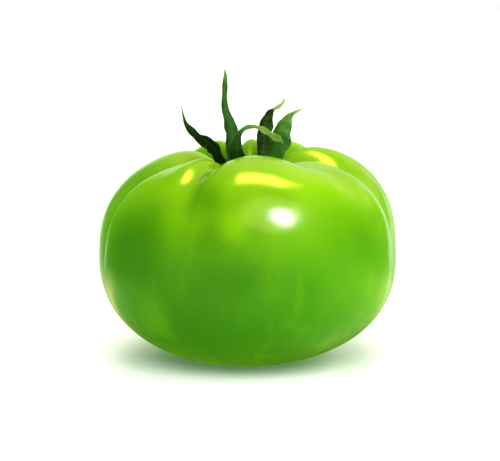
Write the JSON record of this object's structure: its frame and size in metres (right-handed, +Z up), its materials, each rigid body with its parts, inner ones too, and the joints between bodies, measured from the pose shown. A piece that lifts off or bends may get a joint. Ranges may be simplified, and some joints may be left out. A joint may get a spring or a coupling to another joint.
{
  "type": "green tomato",
  "caption": "Green beefsteak tomato, ribbed and slightly flattened, with its curled calyx in the stem cavity, resting on a small flat spot.",
  "frame": {"origin": "centre of the base, on the surface that the fruit rests on", "axes": "+Z up along the fruit's core towards the stem cavity, +X to the right of the pictured front, +Y away from its viewer"},
  "size_m": [0.088, 0.0884, 0.0861],
  "materials": {
    "green_skin": "smooth waxy skin with a soft gloss",
    "sepal_green": "matte leaf with short hairs"
  },
  "bodies": {
    "root": {"fruit": "green_skin", "calyx": "sepal_green"}
  },
  "joints": []
}
